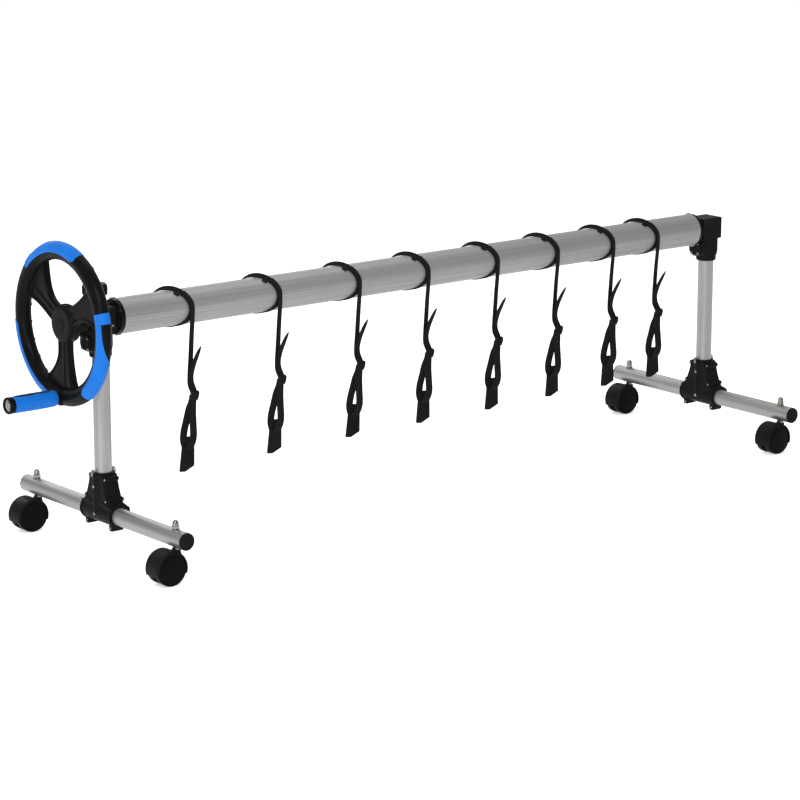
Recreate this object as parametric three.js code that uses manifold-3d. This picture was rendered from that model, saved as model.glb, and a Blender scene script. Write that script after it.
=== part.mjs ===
// Pool cover reel: two stands on casters carry a tube that a handwheel turns, with eight straps on it.
// Millimetres, +X along the tube away from the handwheel, +Z up, standing on z = 0.
import * as THREE from "three";
import { mergeVertices } from "three/addons/utils/BufferGeometryUtils.js";
import Module from "manifold-3d";

const wasm = await Module();
wasm.setup();

// Driving dimensions
const GAP = 0.3; // between pieces that touch
const STAND_X = 920; // from the middle to each upright's axis
const REEL_Z = 533; // height of the reel's axis
const FOOT = { z: 99, radius: 19.5, wall: 1.5, half: 320, capThick: 3, plugDepth: 20 };
const STEM_Y = 277; // from the upright to each caster's stem
const STEM = { radius: 5, hole: 5.4, low: 61, neck: 4, nut: 8.5, nutHeight: 9, tip: 21 };
const TUBE = { radius: 40, wall: 1.5, start: -878, end: 860 };
const SHAFT_RADIUS = 12;
const BUSH = { radius: 15, bore: 12.4, from: -2, inset: 2 };
const FLANGE = { radius: 39.5, thick: 15, plugDepth: 60 };
const WHEEL = { x: -1015, radius: 180.5, section: 18.5, depth: 17.5, grip: 1.5 };
const SPOKE = { angles: [30, 150, 270], halfWidth: 23, flare: 35, flareLength: 42, thick: 20, bevel: 3 };
const HUB = { radius: 42.5, front: -20, back: 18, collarRadius: 29, collarEnd: 52, cap: 14, capThick: 3 };
const GRIP_ARC = { centres: [104, 224, 344], from: -40, to: 38 };
const CRANK = { radius: 160, bolt: 5, boss: 15, core: 12, grip: 18.4, length: 112, standOff: 19, cap: 14 };
const HEAD = { left: -38, right: 26, top: 28, bottom: -72, half: 28, collar: -84, socket: -25 };
const BRAKE = { x: -12, knobRadius: 28.5, knobFrom: 52, knobTo: 80, shank: 5, lobes: 7, lobeDepth: 2.2 };
const SHOE = { lift: 1.8, top: 18.6 }; // clear of the shaft by one turn of the knob's thread and 0.3
const TEE = { sleeve: 24.5, half: 60, collar: 25, top: 94, lip: 27.5, thick: 26 };
const TEE_BOSS = { radius: 6.5, half: 15, places: [[33, 79], [44, 31], [51, -27]] };
const CASTER = { radius: 37, trail: 25, half: 24.5, web: 3.5, hood: 40, hub: 11, axle: 4.5 };
const STRAP = { width: 15, thick: 2.5, loop: 41.5, plateWidth: 29, plateThick: 4 };
const STRAP_X = [-703, -462, -234, -29, 185, 377, 560, 711];

const ROUND = 20; // sides of an ordinary turned piece
const SMALL = 8; // of a bolt or boss
const LARGE = 36; // of the tube and the handwheel's rim

const BLACK = { color: 0x1d1c1e, roughness: 0.55, metalness: 0 };
const ALUMINIUM = { color: 0xa9a9a6, roughness: 0.35, metalness: 1 };
const STEEL = { color: 0xb9b6b2, roughness: 0.25, metalness: 1 };
const BLUE = { color: 0x2a7fe6, roughness: 0.6, metalness: 0 };
const WEBBING = { color: 0x201e22, roughness: 0.9, metalness: 0 };

// Solids
function solidOf(geometry) {
  const bare = geometry.clone();
  bare.deleteAttribute("normal");
  bare.deleteAttribute("uv");
  const merged = mergeVertices(bare, 1e-4);
  const mesh = new wasm.Mesh({
    numProp: 3,
    vertProperties: merged.attributes.position.array,
    triVerts: new Uint32Array(merged.index.array),
  });
  return new wasm.Manifold(mesh);
}

function geometryOf(solid) {
  const mesh = solid.getMesh();
  const geometry = new THREE.BufferGeometry();
  geometry.setAttribute("position", new THREE.BufferAttribute(mesh.vertProperties, 3));
  geometry.setIndex(new THREE.BufferAttribute(mesh.triVerts, 1));
  geometry.computeVertexNormals();
  return geometry;
}

function join(solids) {
  return solids.reduce((whole, solid) => whole.add(solid));
}

function cut(solid, tools) {
  return tools.reduce((left, tool) => left.subtract(tool), solid);
}

// A profile of [radius, distance along the axis] points turned about X, Y or Z.
function turned(profile, axis, segments = ROUND) {
  const points = profile.map(([radius, along]) => new THREE.Vector2(radius, along));
  const geometry = new THREE.LatheGeometry(points, segments, Math.PI / segments);
  if (axis === "x") geometry.rotateZ(-Math.PI / 2);
  if (axis === "z") geometry.rotateX(Math.PI / 2);
  return solidOf(geometry);
}

function rod(radius, from, to, axis, segments) {
  return turned([[0, from], [radius, from], [radius, to], [0, to]], axis, segments);
}

function ring(outer, inner, from, to, axis, segments) {
  const profile = [[inner, from], [outer, from], [outer, to], [inner, to], [inner, from]];
  return turned(profile, axis, segments);
}

const BASIS = {
  x: [new THREE.Vector3(0, 1, 0), new THREE.Vector3(0, 0, 1), new THREE.Vector3(1, 0, 0)],
  y: [new THREE.Vector3(1, 0, 0), new THREE.Vector3(0, 0, 1), new THREE.Vector3(0, -1, 0)],
};

// An outline drawn on the plane across the axis, extruded evenly to both sides of it.
function extruded(shape, depth, axis, bevel = 0) {
  const geometry = new THREE.ExtrudeGeometry(shape, {
    depth: depth - 2 * bevel,
    bevelEnabled: bevel > 0,
    bevelThickness: bevel,
    bevelSize: bevel,
    bevelOffset: -bevel,
    bevelSegments: 1,
    curveSegments: LARGE / 4,
  });
  geometry.translate(0, 0, bevel - depth / 2);
  geometry.applyMatrix4(new THREE.Matrix4().makeBasis(...BASIS[axis]));
  return solidOf(geometry);
}

function outline(points) {
  return new THREE.Shape(points.map(([a, b]) => new THREE.Vector2(a, b)));
}

function block(x, y, z) {
  const size = [x[1] - x[0], y[1] - y[0], z[1] - z[0]];
  const geometry = new THREE.BoxGeometry(...size);
  geometry.translate(x[0] + size[0] / 2, y[0] + size[1] / 2, z[0] + size[2] / 2);
  return solidOf(geometry);
}

function moved(solid, x, y, z) {
  return solid.translate([x, y, z]);
}

function mesh(parent, name, solid, finish) {
  const piece = new THREE.Mesh(geometryOf(solid), new THREE.MeshStandardMaterial(finish));
  piece.name = name;
  parent.add(piece);
  return piece;
}

function group(parent, x, y, z) {
  const made = new THREE.Group();
  made.position.set(x, y, z);
  parent.add(made);
  return made;
}

// The two halves of a clamshell that is closed by screws along X.
function clamshell(parent, solid, lowName, highName) {
  const reach = 200;
  const far = [-reach, reach];
  mesh(parent, lowName, solid.intersect(block([-reach, -GAP / 2], far, far)), BLACK);
  mesh(parent, highName, solid.intersect(block([GAP / 2, reach], far, far)), BLACK);
}

// Stands
function footTube() {
  const end = FOOT.half - FOOT.capThick - GAP;
  const tube = ring(FOOT.radius, FOOT.radius - FOOT.wall, -end, end, "y");
  const hole = rod(STEM.hole, -FOOT.radius - 1, FOOT.radius + 1, "z", SMALL);
  return cut(tube, [moved(hole, 0, STEM_Y, 0), moved(hole, 0, -STEM_Y, 0)]);
}

function footCap() {
  const plug = FOOT.radius - FOOT.wall - GAP;
  const face = FOOT.half;
  const back = face - FOOT.capThick;
  const inner = back - FOOT.plugDepth;
  const profile = [[0, inner], [plug, inner], [plug, back], [FOOT.radius, back]];
  profile.push([FOOT.radius, face], [0, face]);
  return turned(profile, "y");
}

function teeGusset() {
  const shape = new THREE.Shape();
  shape.moveTo(-TEE.half + 2, 0);
  shape.lineTo(TEE.half - 2, 0);
  shape.lineTo(TEE.half - 2, 16);
  shape.lineTo(37, 38);
  shape.lineTo(28, TEE.top - 10);
  shape.lineTo(-28, TEE.top - 10);
  shape.lineTo(-37, 38);
  shape.lineTo(-TEE.half + 2, 16);
  return extruded(shape, TEE.thick, "x");
}

function tee() {
  const { half, sleeve, collar, top, lip } = TEE;
  const parts = [teeGusset(), rod(sleeve, -half, half, "y"), rod(collar, 0, top, "z")];
  const boss = rod(TEE_BOSS.radius, -TEE_BOSS.half, TEE_BOSS.half, "x", SMALL);
  for (const side of [-1, 1]) {
    parts.push(moved(rod(lip, -3, 3, "y"), 0, side * (half - 3), 0));
    for (const [y, z] of TEE_BOSS.places) parts.push(moved(boss, 0, side * y, z));
  }
  const bore = FOOT.radius + GAP;
  return cut(join(parts), [rod(bore, -half - 1, half + 1, "y"), rod(bore, 0, top + 1, "z")]);
}

function headOutline() {
  const { left, right, top, bottom } = HEAD;
  const points = [[left, bottom + 10], [left + 8, bottom], [right - 18, bottom], [right - 9, bottom + 13]];
  points.push([right - 9, -24], [right, -22], [right, top], [left, top]);
  return outline(points);
}

function head(hasBrake) {
  const { left, right, top, half, collar, bottom, socket } = HEAD;
  const body = extruded(headOutline(), 2 * half, "y", 2);
  const shell = join([body, rod(TEE.sleeve, collar, bottom + 4, "z")]);
  const cuts = [rod(SHAFT_RADIUS + 0.5, left - 1, right + 1, "x")];
  cuts.push(rod(BUSH.radius + GAP, BUSH.from - GAP, right + 1, "x"));
  cuts.push(rod(FOOT.radius + GAP, collar - 1, socket, "z"));
  if (hasBrake) cuts.push(moved(rod(BRAKE.shank + 0.6, 0, top + 1, "z", SMALL), BRAKE.x, 0, 0));
  return cut(shell, cuts);
}

function bush() {
  return ring(BUSH.radius, BUSH.bore, BUSH.from, HEAD.right - BUSH.inset, "x");
}

function addStand(parent, side, x, brake) {
  const stand = group(parent, x, 0, 0);
  const foot = group(stand, 0, 0, FOOT.z);
  mesh(foot, side + "_foot_tube", footTube(), ALUMINIUM);
  mesh(foot, side + "_foot_cap_rear", footCap(), BLACK);
  mesh(foot, side + "_foot_cap_front", footCap(), BLACK).rotation.z = Math.PI;
  const names = x < 0 ? ["outer", "inner"] : ["inner", "outer"];
  clamshell(foot, tee(), ...names.map((name) => side + "_tee_" + name));
  const low = FOOT.z + FOOT.radius + 1;
  const high = REEL_Z + HEAD.socket - 2;
  const upright = ring(FOOT.radius, FOOT.radius - FOOT.wall, low, high, "z");
  mesh(stand, side + "_upright", upright, ALUMINIUM);
  const top = group(stand, 0, 0, REEL_Z);
  clamshell(top, head(brake), ...names.map((name) => side + "_head_" + name));
  mesh(top, side + "_bush", bush(), STEEL);
  for (const [place, y] of [["front", -STEM_Y], ["rear", STEM_Y]]) {
    addCaster(group(stand, 0, y, 0), side + "_" + place + "_");
  }
}

// Casters
function stem() {
  const low = FOOT.z - FOOT.radius - GAP;
  const high = FOOT.z + FOOT.radius + GAP;
  const { radius, neck, nut } = STEM;
  const nutTop = high + STEM.nutHeight;
  const profile = [[0, STEM.low], [neck, STEM.low], [neck, low - 5], [8, low - 5], [8, low], [radius, low]];
  profile.push([radius, high], [nut, high], [nut, nutTop], [radius, nutTop], [radius, high + STEM.tip]);
  profile.push([0, high + STEM.tip]);
  return turned(profile, "z", SMALL);
}

// Two arcs about the wheel's centre, from one angle to the other, as a closed band.
function band(outer, inner, from, to) {
  const shape = new THREE.Shape();
  shape.absarc(0, 0, outer, from, to, false);
  shape.absarc(0, 0, inner, to, from, true);
  return shape;
}

function hood() {
  const { radius, trail, half, web, hood: outer } = CASTER;
  const degree = Math.PI / 180;
  const cover = extruded(band(outer, outer - 2, -20 * degree, 200 * degree), 2 * half, "y");
  const arch = [[-38, 0], [-27, 27], [0, outer - 1], [27, 27], [38, 0], [0, 6]];
  const plate = extruded(outline(arch.reverse()), 2 * web, "y");
  const eye = rod(CASTER.hub, -web, web, "y", SMALL);
  const axleHole = rod(CASTER.axle + 0.4, -web - 1, web + 1, "y");
  const centred = moved(join([cover, plate, eye]).subtract(axleHole), -trail, 0, radius);
  const neck = rod(10.5, 56, 72, "z", SMALL + 4);
  const socket = rod(STEM.neck + 0.4, STEM.low - 1, 80, "z", SMALL);
  const cavity = moved(wheelSpace(), -trail, 0, radius);
  return join([centred, cut(neck, [cavity])]).subtract(socket);
}

// The room that the two discs of the wheel turn in.
function wheelSpace() {
  const { hood: outer, half, web } = CASTER;
  return join([rod(outer - 1.5, web, half + 9, "y"), rod(outer - 1.5, -half - 9, -web, "y")]);
}

// Two discs on one axle, with a flat of the rim's polygon at the bottom.
function casterWheel() {
  const { radius, half, web, axle } = CASTER;
  const rim = radius / Math.cos(Math.PI / ROUND);
  const inner = web + 1.5;
  const profile = [[0, -half], [rim, -half], [rim, -inner], [axle, -inner]];
  profile.push([axle, inner], [rim, inner], [rim, half], [0, half]);
  return turned(profile, "y");
}

function addCaster(parent, prefix) {
  mesh(parent, prefix + "caster_stem", stem(), STEEL);
  mesh(parent, prefix + "caster_hood", hood(), BLACK);
  const wheel = mesh(parent, prefix + "caster_wheel", casterWheel(), BLACK);
  wheel.position.set(-CASTER.trail, 0, CASTER.radius);
}

// Reel
function plug(hasLongShaft) {
  const inside = TUBE.radius - TUBE.wall - GAP;
  const tip = hasLongShaft ? WHEEL.x + 12 : STAND_X + HEAD.right - 8;
  const end = hasLongShaft ? TUBE.start : TUBE.end;
  const way = Math.sign(tip - end);
  const inner = end - FLANGE.plugDepth * way;
  const profile = [[0, inner], [inside, inner], [inside, end + GAP * way]];
  profile.push([FLANGE.radius, end + GAP * way], [FLANGE.radius, end + FLANGE.thick * way]);
  profile.push([SHAFT_RADIUS, end + FLANGE.thick * way], [SHAFT_RADIUS, tip], [0, tip]);
  return turned(way > 0 ? profile : profile.reverse(), "x");
}

function rimTorus(section, depth) {
  const geometry = new THREE.TorusGeometry(WHEEL.radius - WHEEL.section, section, SMALL, LARGE);
  geometry.rotateY(Math.PI / 2);
  geometry.scale(depth / section, 1, 1);
  return solidOf(geometry);
}

// A point on the wheel's plane: 0 degrees is towards -Y and 90 is up.
function polar(radius, degrees) {
  const angle = (degrees * Math.PI) / 180;
  return [-radius * Math.cos(angle), radius * Math.sin(angle)];
}

function spoke() {
  const reach = WHEEL.radius - WHEEL.section - 8;
  const { halfWidth, flare, flareLength, thick, bevel } = SPOKE;
  const upper = [[reach, flare], [reach - flareLength, halfWidth], [0, halfWidth]];
  const lower = upper.map(([along, across]) => [along, -across]).reverse();
  return extruded(outline([...upper, ...lower]), thick, "x", bevel);
}

function turnedTo(solid, degrees) {
  return solid.rotate([180 - degrees, 0, 0]);
}

function handwheel() {
  const inside = SHAFT_RADIUS + GAP;
  const { radius, front, back, collarRadius, collarEnd } = HUB;
  const parts = [rimTorus(WHEEL.section - WHEEL.grip - GAP, WHEEL.depth - WHEEL.grip - GAP)];
  for (const angle of SPOKE.angles) parts.push(turnedTo(spoke(), angle));
  parts.push(rod(radius, front, back, "x"), rod(collarRadius, back - 1, collarEnd, "x"));
  const boltHole = rod(CRANK.bolt + GAP, -40, 40, "x");
  const bossAt = polar(CRANK.radius, 270);
  parts.push(moved(rod(CRANK.boss, -CRANK.standOff + 1, WHEEL.depth - 1, "x"), 0, ...bossAt));
  const cuts = [rod(inside, 12 - GAP, collarEnd + 1, "x")];
  cuts.push(rod(HUB.cap + GAP, front - 1, front + HUB.capThick + GAP, "x"));
  cuts.push(moved(boltHole, 0, ...bossAt));
  return cut(join(parts), cuts);
}

function rimGrip(centre) {
  const reach = WHEEL.radius + 20;
  const arc = [polar(20, centre)];
  for (let turn = GRIP_ARC.from; turn <= GRIP_ARC.to; turn += 6) {
    arc.push(polar(reach, centre + turn));
  }
  const sector = extruded(outline(arc), 80, "x");
  const shell = rimTorus(WHEEL.section, WHEEL.depth);
  const hollow = rimTorus(WHEEL.section - WHEEL.grip, WHEEL.depth - WHEEL.grip);
  const inner = rod(WHEEL.radius - WHEEL.section - 1, -40, 40, "x", LARGE);
  return cut(shell.intersect(sector), [hollow, inner]);
}

function addReel(parent) {
  const reel = group(parent, 0, 0, REEL_Z);
  const inner = TUBE.radius - TUBE.wall;
  mesh(reel, "main_tube", ring(TUBE.radius, inner, TUBE.start, TUBE.end, "x", LARGE), ALUMINIUM);
  mesh(reel, "drive_plug", plug(true), BLACK);
  mesh(reel, "idler_plug", plug(false), BLACK);
  const wheel = group(reel, WHEEL.x, 0, 0);
  mesh(wheel, "handwheel", handwheel(), BLACK);
  GRIP_ARC.centres.forEach((centre, i) => {
    mesh(wheel, "rim_grip_" + (i + 1), rimGrip(centre), BLUE);
  });
  mesh(wheel, "hub_cap", rod(HUB.cap, HUB.front, HUB.front + HUB.capThick, "x"), BLACK);
  addCrank(group(wheel, 0, ...polar(CRANK.radius, 270)));
}

// Crank handle, which turns freely on a bolt through the rim
function addCrank(parent) {
  const { bolt, core, grip, length, standOff } = CRANK;
  const root = -standOff - 1;
  const end = root - length;
  const face = end - CRANK.cap;
  const shank = [[0, 22], [9, 22], [9, 17.2], [bolt, 17.2], [bolt, face + 4], [11, face + 4]];
  shank.push([11, face + 1], [0, face + 1]);
  mesh(parent, "handle_bolt", turned(shank.reverse(), "x"), STEEL);
  const bore = bolt + 0.4;
  mesh(parent, "handle_core", ring(core, bore, end, root, "x"), BLACK);
  mesh(parent, "handle_grip", ring(grip, core + GAP, end, root - 4, "x"), BLUE);
  const cap = [[bore, end - GAP], [bore, face + 5], [12, face + 5], [12, face], [grip - 1.5, face]];
  cap.push([grip, face + 1.5], [grip, end - GAP], [bore, end - GAP]);
  mesh(parent, "handle_end_cap", turned(cap, "x"), BLACK);
}

// Brake
function knob() {
  const { lobes, lobeDepth, knobRadius, knobFrom, knobTo, shank } = BRAKE;
  const steps = lobes * 6;
  const shape = new THREE.Shape();
  for (let i = 0; i < steps; i += 1) {
    const angle = (i / steps) * 2 * Math.PI;
    const radius = knobRadius - lobeDepth * (1 - Math.cos(lobes * angle));
    const point = [radius * Math.cos(angle), radius * Math.sin(angle)];
    if (i) shape.lineTo(...point);
    else shape.moveTo(...point);
  }
  const geometry = new THREE.ExtrudeGeometry(shape, { depth: knobTo - knobFrom, bevelEnabled: false });
  geometry.translate(0, 0, knobFrom);
  return join([solidOf(geometry), rod(shank, SHOE.top + GAP, knobFrom + 1, "z", SMALL)]);
}

function addBrake(parent) {
  const brake = group(parent, -STAND_X + BRAKE.x, 0, REEL_Z);
  mesh(brake, "brake_knob", knob(), BLACK);
  mesh(brake, "brake_shoe", rod(BRAKE.shank, SHAFT_RADIUS + SHOE.lift, SHOE.top, "z", SMALL), STEEL);
}

// Straps
// A strip of webbing seen from its edge, along points of [y, z].
function strip(points, thick) {
  const half = thick / 2;
  const path = points.map(([y, z]) => new THREE.Vector2(y, z));
  const sides = path.map((point, i) => {
    const before = path[Math.max(i - 1, 0)];
    const after = path[Math.min(i + 1, path.length - 1)];
    const along = after.clone().sub(before).normalize();
    return [point, new THREE.Vector2(-along.y, along.x).multiplyScalar(half)];
  });
  const left = sides.map(([point, side]) => point.clone().add(side));
  const right = sides.map(([point, side]) => point.clone().sub(side)).reverse();
  return extruded(new THREE.Shape([...left, ...right]), STRAP.width, "x");
}

function strap() {
  const { loop, thick, width } = STRAP;
  const outer = loop + thick;
  const hanging = [[-outer + 1.2, 4], [-outer + 1.2, -12], [-38, -60], [-37, -120], [-45, -180]];
  const front = [[-45, -205], [-50, -225], [-45, -262], [-28, -288]];
  const rear = [[-45, -205], [-32, -225], [-15, -262], [-22, -288]];
  const parts = [ring(outer, loop, -width / 2, width / 2, "x", 16)];
  parts.push(strip(hanging, thick), strip(front, thick), strip(rear, thick));
  parts.push(block([-10.5, 10.5], [-49, -41], [-208, -176]));
  parts.push(block([-7.5, 7.5], [-29, -19], [-291, -286]));
  return join(parts);
}

function coverPlate() {
  const half = STRAP.plateWidth / 2;
  const shape = outline([[-half, -80], [half, -68], [half, 0], [-half, 0]]);
  return moved(extruded(shape, STRAP.plateThick, "y"), 0, -24, -291 - GAP);
}

function addStrap(parent, x, number) {
  const hung = group(parent, x, 0, REEL_Z);
  mesh(hung, "strap_" + number, strap(), WEBBING);
  mesh(hung, "cover_plate_" + number, coverPlate(), BLACK);
}

// Assembly, with its box centred over the origin
const coverReel = new THREE.Group();
const machine = group(coverReel, 0, 0, 0);
addStand(machine, "left", -STAND_X, true);
addStand(machine, "right", STAND_X, false);
addReel(machine);
addBrake(machine);
STRAP_X.forEach((x, i) => addStrap(machine, x, i + 1));
coverReel.updateMatrixWorld(true);
machine.position.x = -new THREE.Box3().setFromObject(machine).getCenter(new THREE.Vector3()).x;

export default coverReel;
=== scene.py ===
import math

import bmesh
import bpy
from mathutils import Matrix, Vector


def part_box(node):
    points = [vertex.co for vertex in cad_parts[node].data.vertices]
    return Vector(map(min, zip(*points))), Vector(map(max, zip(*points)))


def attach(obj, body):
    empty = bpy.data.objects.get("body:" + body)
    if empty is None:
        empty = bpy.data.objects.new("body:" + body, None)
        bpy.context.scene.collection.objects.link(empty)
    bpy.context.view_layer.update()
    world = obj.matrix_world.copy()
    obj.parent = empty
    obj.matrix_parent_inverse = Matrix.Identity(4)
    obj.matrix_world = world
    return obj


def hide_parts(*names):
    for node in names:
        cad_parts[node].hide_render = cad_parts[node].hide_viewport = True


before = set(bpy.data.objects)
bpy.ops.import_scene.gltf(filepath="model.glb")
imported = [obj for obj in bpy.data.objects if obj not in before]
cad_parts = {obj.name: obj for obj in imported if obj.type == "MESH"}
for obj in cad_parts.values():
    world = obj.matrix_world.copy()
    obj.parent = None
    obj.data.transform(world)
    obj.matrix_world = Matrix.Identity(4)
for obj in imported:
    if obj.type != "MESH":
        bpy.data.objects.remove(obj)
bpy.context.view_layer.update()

MM = 0.001
SIDES = ("left", "right")
CORNERS = tuple(side + "_" + end for side in SIDES for end in ("front", "rear"))


def middle(node):
    """The middle of a CAD node's box, in millimetres."""
    low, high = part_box(node)
    return (low + high) / 2 / MM


def reach(node, axis):
    """The lowest and highest place of a CAD node along an axis, in millimetres."""
    low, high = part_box(node)
    return low[axis] / MM, high[axis] / MM


REEL_Z = middle("main_tube").z
TUBE_ENDS = reach("main_tube", 0)
WHEEL_X = middle("rim_grip_1").x
CRANK_Z = middle("handle_grip").z
KNOB_X = middle("brake_knob").x
UPRIGHT_X = {side: middle(side + "_upright").x for side in SIDES}
FOOT_Z = middle("left_foot_tube").z
STRAP_COUNT = sum(name.startswith("cover_plate_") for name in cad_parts)

TUBE_RADIUS = 40
TUBE_WALL = 1.6
KEYWAYS = (-13.3, 106.7, 226.7)     # where the tube's keyways lie, in degrees as in polar
FOOT_RADIUS = 19.5                  # of the uprights as well
FOOT_WALL = 1.5
FOOT_HALF = reach("left_foot_cap_rear", 1)[1]
# The rim's section is an oval: "across" and "deep" are half its size along a radius and along X.
RIM = {"centre": 160, "across": 19.9, "deep": 16.9, "ribs": 24}
GRIP_CENTRES = (104, 224, 344)
GRIP_END = 33       # degrees from a grip's middle to the end of its hook
WINDOW = (-3, 25)   # where the window in a grip starts and ends, from its middle
SPOKES = (30, 150, 270)
SPOKE_REACH = 158   # the spokes' corners stay inside this radius, within the rim's section
HUB_FRONT = -6      # the hub's front face, from the rim's middle; minus is away from the tube
CAP_DEPTH = 11      # how far the hub cap is set back towards the tube
FLOOR_HALF = 400    # half the floor's side, in metres


# Camera, lights and floor
def aim(thing, target):
    """Turns a light so that it shines at a target."""
    thing.rotation_euler = (Vector(target) - thing.location).to_track_quat("-Z", "Y").to_euler()


def add_camera():
    data = bpy.data.cameras.new("camera")
    data.sensor_width = 36
    data.lens = 135.1
    camera = bpy.data.objects.new("camera", data)
    camera.location = (-4.3116, -5.3949, 1.8514)
    camera.rotation_euler = (math.radians(76.8), 0, math.radians(-38.79))
    bpy.context.scene.collection.objects.link(camera)
    bpy.context.scene.camera = camera


def add_light(name, place, target, size, power):
    data = bpy.data.lights.new(name, "AREA")
    data.shape = "RECTANGLE"
    data.size, data.size_y = size
    data.energy = power
    light = bpy.data.objects.new(name, data)
    light.location = place
    aim(light, target)
    bpy.context.scene.collection.objects.link(light)


def add_studio():
    add_light("key", (-3.4, -2.8, 3.4), (-0.2, 0, 0.4), (0.6, 0.6), 95)
    add_light("strip", (-4.4, -1.9, 1.2), (-0.2, 0, 0.4), (0.5, 1.8), 44)
    add_light("top", (0.2, 0.3, 3.2), (0.2, 0, 0.4), (4.0, 1.2), 34)
    add_light("back", (1.2, 4.2, 2.6), (0.2, 0, 0.5), (5.0, 2.0), 62)
    world = bpy.data.worlds.new("studio")
    world.use_nodes = True
    background = world.node_tree.nodes["Background"]
    background.inputs["Color"].default_value = (1, 1, 1, 1)
    background.inputs["Strength"].default_value = 0.6
    bpy.context.scene.world = world
    bpy.context.scene.view_settings.view_transform = "Standard"


def add_floor():
    mesh = bpy.data.meshes.new("floor")
    corners = [(x * FLOOR_HALF, y * FLOOR_HALF, 0) for x, y in ((-1, -1), (1, -1), (1, 1), (-1, 1))]
    mesh.from_pydata(corners, [], [(0, 1, 2, 3)])
    floor = bpy.data.objects.new("floor", mesh)
    bpy.context.scene.collection.objects.link(floor)
    floor.location.z = -0.0005
    paint = bpy.data.materials.new("floor_paint")
    paint.use_nodes = True
    shader = paint.node_tree.nodes["Principled BSDF"]
    shader.inputs["Base Color"].default_value = (0.93, 0.93, 0.93, 1)
    shader.inputs["Roughness"].default_value = 0.9
    shader.inputs["Emission Color"].default_value = (1, 1, 1, 1)
    shader.inputs["Emission Strength"].default_value = 0.47
    mesh.materials.append(paint)


# Materials
class Finish:
    """A principled material whose noises are laid in the piece's own coordinates."""

    def __init__(self, name, colour, roughness, metallic=0.0, specular=0.5):
        self.material = bpy.data.materials.new(name)
        self.material.use_nodes = True
        self.tree = self.material.node_tree
        self.shader = self.tree.nodes["Principled BSDF"]
        self.set("Base Color", (*colour, 1))
        self.set("Roughness", roughness)
        self.set("Metallic", metallic)
        self.set("Specular IOR Level", specular)
        self.place = self.node("ShaderNodeTexCoord").outputs["Object"]
        self.height = None

    def node(self, kind):
        return self.tree.nodes.new(kind)

    def set(self, socket, value):
        self.shader.inputs[socket].default_value = value

    def noise(self, scale, detail):
        """Noise stretched by scale, in cycles per metre along X, Y and Z."""
        mapping = self.node("ShaderNodeMapping")
        mapping.inputs["Scale"].default_value = scale
        self.tree.links.new(self.place, mapping.inputs["Vector"])
        noise = self.node("ShaderNodeTexNoise")
        noise.inputs["Scale"].default_value = 1.0
        noise.inputs["Detail"].default_value = detail
        noise.inputs["Roughness"].default_value = 0.55
        self.tree.links.new(mapping.outputs["Vector"], noise.inputs["Vector"])
        return noise.outputs["Fac"]

    def spread(self, factor, low, high):
        """The factor's middle range, 0.3 to 0.7, mapped to low to high."""
        ranged = self.node("ShaderNodeMapRange")
        ranged.inputs["From Min"].default_value = 0.3
        ranged.inputs["From Max"].default_value = 0.7
        ranged.inputs["To Min"].default_value = low
        ranged.inputs["To Max"].default_value = high
        self.tree.links.new(factor, ranged.inputs["Value"])
        return ranged.outputs["Result"]

    def tint(self, factor, low, high):
        """The colour goes from low to high over the factor's middle range."""
        ramp = self.node("ShaderNodeValToRGB")
        ramp.color_ramp.elements[0].position = 0.3
        ramp.color_ramp.elements[0].color = (*low, 1)
        ramp.color_ramp.elements[1].position = 0.7
        ramp.color_ramp.elements[1].color = (*high, 1)
        self.tree.links.new(factor, ramp.inputs["Fac"])
        self.tree.links.new(ramp.outputs["Color"], self.shader.inputs["Base Color"])

    def roughen(self, factor, low, high):
        self.tree.links.new(self.spread(factor, low, high), self.shader.inputs["Roughness"])

    def bump(self, factor, distance, strength=1.0):
        """Adds a bump, in metres, on top of those before it."""
        bump = self.node("ShaderNodeBump")
        bump.inputs["Strength"].default_value = strength
        bump.inputs["Distance"].default_value = distance
        self.tree.links.new(factor, bump.inputs["Height"])
        if self.height:
            self.tree.links.new(self.height, bump.inputs["Normal"])
        self.height = bump.outputs["Normal"]
        self.tree.links.new(self.height, self.shader.inputs["Normal"])

    def wave(self, direction, per_metre):
        wave = self.node("ShaderNodeTexWave")
        wave.bands_direction = direction
        wave.inputs["Scale"].default_value = per_metre / 3.1416 / 2
        wave.inputs["Distortion"].default_value = 0.6
        wave.inputs["Detail Scale"].default_value = 90
        self.tree.links.new(self.place, wave.inputs["Vector"])
        return wave.outputs["Fac"]


def aluminium(name, along, smooth=0.39):
    """Satin extruded aluminium, its drawing marks along one axis."""
    streaks = [260.0, 260.0, 260.0]
    streaks["xyz".index(along)] = 1.6
    fine = [2600.0, 2600.0, 2600.0]
    fine["xyz".index(along)] = 14.0
    finish = Finish(name, (0.3, 0.3, 0.295), 0.44, metallic=0.85)
    marks = finish.noise(streaks, 5)
    finish.tint(marks, (0.27, 0.269, 0.264), (0.33, 0.329, 0.322))
    finish.roughen(finish.noise((9, 9, 9), 3), smooth, smooth + 0.09)
    finish.bump(marks, 0.00004)
    finish.bump(finish.noise(fine, 2), 0.00002)
    return finish.material


def plastic(name, colour, roughness, grain=1500.0, depth=0.00004, specular=0.035):
    """Moulded black plastic: a fine grain, faint flow marks and rubbed patches."""
    finish = Finish(name, colour, roughness, specular=specular)
    cloud = finish.noise((26, 26, 26), 5)
    finish.tint(cloud, [c * 0.82 for c in colour], [c * 1.35 for c in colour])
    finish.roughen(finish.noise((60, 60, 60), 6), roughness - 0.06, roughness + 0.08)
    finish.bump(finish.noise((grain, grain, grain), 2), depth)
    return finish.material


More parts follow.
